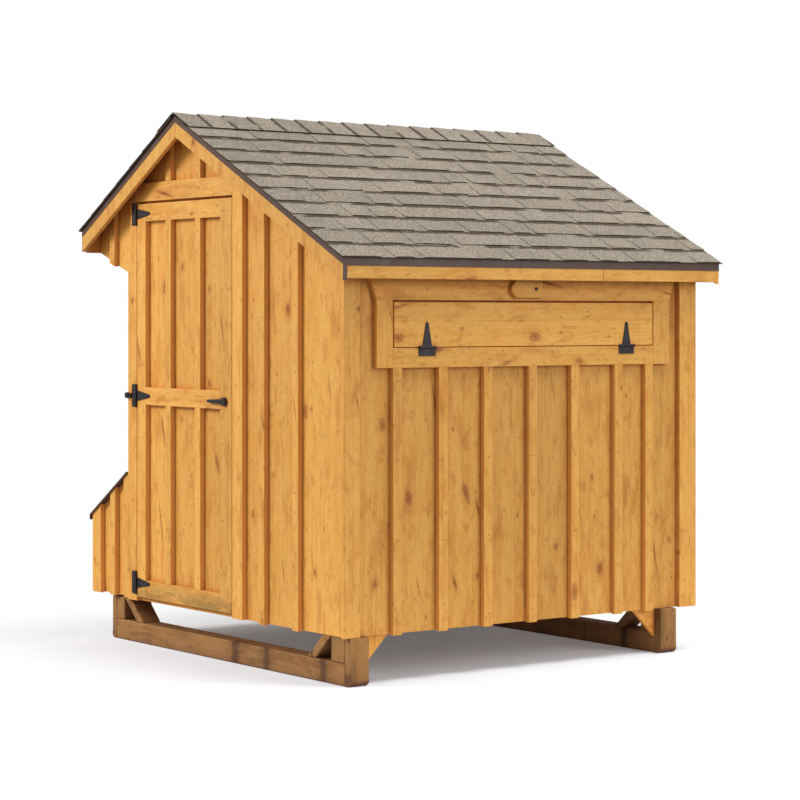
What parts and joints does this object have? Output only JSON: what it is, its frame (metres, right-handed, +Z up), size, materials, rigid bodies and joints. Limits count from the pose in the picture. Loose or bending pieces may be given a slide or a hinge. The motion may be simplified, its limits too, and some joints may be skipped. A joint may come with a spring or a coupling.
{
  "type": "calf hutch",
  "caption": "Small board-and-batten timber animal hutch on skids: walk-in gable door, drop-down vent flap, shingled asymmetric gable roof and a side box with a sloping lift-up lid.",
  "frame": {"origin": "on the ground, at the centre of the whole object's footprint box", "axes": "+Z up, the ridge runs along Y, the door gable faces -Y, the vent flap side faces +X, the side box is on the -X side"},
  "size_m": [2.0604, 1.972, 2.2739],
  "materials": {
    "stained_pine": "knotty pine boards with a honey-coloured translucent stain",
    "treated_timber": "pressure-treated pine, brown-olive, unfinished",
    "framing_timber": "planed softwood framing, unfinished",
    "deck_board": "softwood plywood, unfinished",
    "shingle": "asphalt shingle with weathered grey-beige mineral granules, modelled with rubber's density",
    "brown_metal": "dark brown coated sheet metal, satin",
    "black_hardware": "black powder-coated steel, slightly textured",
    "galvanised_wire": "galvanised welded wire"
  },
  "bodies": {
    "house": {"barge_boards": "stained_pine", "corbel_soffit": "stained_pine", "corner_trims": "stained_pine", "door_holdback_knob": "black_hardware", "door_surround_trims": "stained_pine", "drip_edges": "brown_metal", "eave_fascias": "stained_pine", "floor_deck": "deck_board", "floor_joists": "framing_timber", "front_wall_battens": "stained_pine", "front_wall_boards": "stained_pine", "front_wall_frame": "framing_timber", "hatch_wall_battens": "stained_pine", "hatch_wall_boards": "stained_pine", "hatch_wall_frame": "framing_timber", "hinge_pins": "black_hardware", "hinge_plate_screws": "black_hardware", "hinge_plates": "black_hardware", "nest_box_battens": "stained_pine", "nest_box_dividers": "framing_timber", "nest_box_ends": "stained_pine", "nest_box_floor": "framing_timber", "nest_box_outer_boards": "stained_pine", "nest_wall_battens": "stained_pine", "nest_wall_boards": "stained_pine", "nest_wall_frame": "framing_timber", "rafters": "framing_timber", "rear_wall_battens": "stained_pine", "rear_wall_boards": "stained_pine", "rear_wall_frame": "framing_timber", "ridge_board": "framing_timber", "ridge_caps": "shingle", "roof_deck_hatch_side": "deck_board", "roof_deck_nest_side": "deck_board", "shingles_hatch_side": "shingle", "shingles_nest_side": "shingle", "skid_braces": "treated_timber", "skid_end_plates": "treated_timber", "skid_gussets": "stained_pine", "skid_leg_blocks": "treated_timber", "skid_runners": "treated_timber", "turn_button_screw": "black_hardware", "vent_screen": "galvanised_wire", "vent_surround_trims": "stained_pine"},
    "door": {"door_boards": "stained_pine", "door_frame": "stained_pine", "door_battens": "stained_pine", "door_hinge_straps": "black_hardware", "door_strap_screws": "black_hardware"},
    "latch": {"door_handle": "black_hardware", "latch_spindle": "black_hardware", "latch_cam": "black_hardware"},
    "flap": {"vent_flap": "stained_pine", "flap_hinge_straps": "black_hardware", "flap_strap_screws": "black_hardware"},
    "button": {"turn_button": "stained_pine"},
    "lid": {"nest_lid_board": "stained_pine", "nest_lid_cover": "brown_metal", "lid_hinge_straps": "black_hardware", "lid_strap_screws": "black_hardware"}
  },
  "joints": [
    {"name": "door_hinge", "type": "hinge", "parent": "house", "child": "door", "pos_m": [-0.62625, -0.9205, 1.076], "axis": [0, 0, -1], "range_deg": [0, 110]},
    {"name": "latch_turn", "type": "hinge", "parent": "door", "child": "latch", "pos_m": [0.09075, -0.9145, 1.07], "axis": [0, 1, 0], "range_deg": [0, 90]},
    {"name": "flap_hinge", "type": "hinge", "parent": "house", "child": "flap", "pos_m": [0.94675, -0.005, 1.2985], "axis": [0, 1, 0], "range_deg": [0, 170]},
    {"name": "button_turn", "type": "hinge", "parent": "house", "child": "button", "pos_m": [0.95175, 0.017, 1.53], "axis": [1, 0, 0], "range_deg": [0, 90]},
    {"name": "lid_hinge", "type": "hinge", "parent": "house", "child": "lid", "pos_m": [-0.70825, 0, 0.74731], "axis": [0, 1, 0], "range_deg": [0, 100]}
  ]
}
